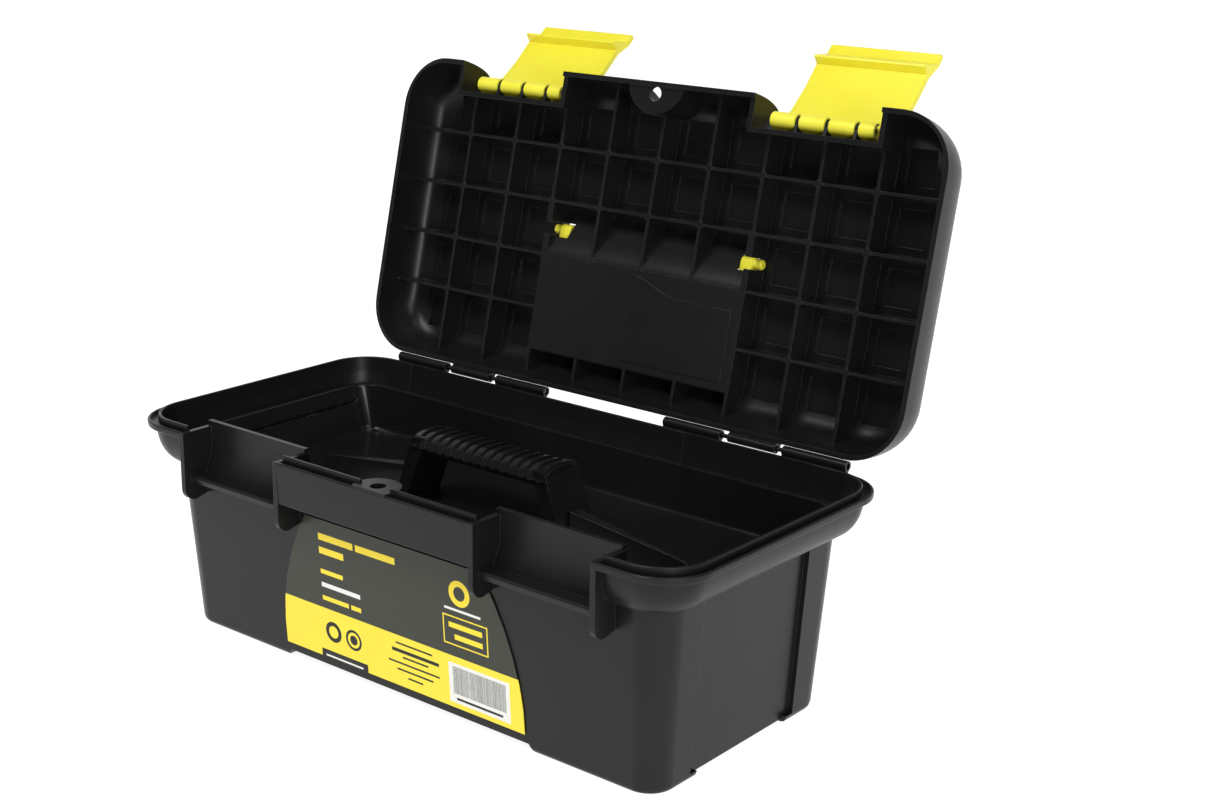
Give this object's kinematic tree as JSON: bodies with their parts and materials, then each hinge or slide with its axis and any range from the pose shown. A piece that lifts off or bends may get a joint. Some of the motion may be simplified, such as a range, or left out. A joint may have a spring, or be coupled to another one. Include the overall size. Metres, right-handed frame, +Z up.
{
  "type": "toolbox with tray",
  "caption": "Small hinged plastic toolbox, open, with a lift-out tray with a handle, two snap latches and a folding carry handle in the lid.",
  "frame": {"origin": "under the middle of the tub, on the plane it stands on", "axes": "+X along the length, to the right seen from the front; the front faces -Y; +Z up"},
  "size_m": [0.25, 0.1943, 0.2118],
  "materials": {
    "black_shell": "semi-gloss moulded polypropylene with a fine grain",
    "black_tray": "glossy moulded polypropylene",
    "yellow_latch": "bright yellow moulded plastic, semi-gloss",
    "pin_steel": "drawn steel wire",
    "label_print": "printed sticker, charcoal field over a yellow band"
  },
  "bodies": {
    "tub": {"tub": "black_shell", "front_label": "label_print", "hinge_pin_left": "pin_steel", "hinge_pin_right": "pin_steel"},
    "lid": {"lid": "black_shell"},
    "handle": {"carry_handle": "yellow_latch"},
    "left_latch": {"latch_left": "yellow_latch"},
    "right_latch": {"latch_right": "yellow_latch"},
    "tray": {"tray": "black_tray", "tray_handle": "black_tray"}
  },
  "joints": [
    {"name": "lid_hinge", "type": "hinge", "parent": "tub", "child": "lid", "pos_m": [0, 0.0612, 0.0805], "axis": [1, 0, 0], "range_deg": [0, 103.2]},
    {"name": "left_latch_hinge", "type": "hinge", "parent": "lid", "child": "left_latch", "pos_m": [-0.06975, 0.09361, 0.18845], "axis": [1, 0, 0], "range_deg": [0, 129.5]},
    {"name": "right_latch_hinge", "type": "hinge", "parent": "lid", "child": "right_latch", "pos_m": [0.06975, 0.09361, 0.18845], "axis": [1, 0, 0], "range_deg": [0, 124.2]},
    {"name": "handle_hinge", "type": "hinge", "parent": "lid", "child": "handle", "pos_m": [0, 0.09046, 0.1365], "axis": [1, 0, 0], "range_deg": [0, 90]},
    {"name": "tray_lift", "type": "slide", "parent": "tub", "child": "tray", "axis": [0, 0, 1], "range_m": [0, 0.007]}
  ]
}
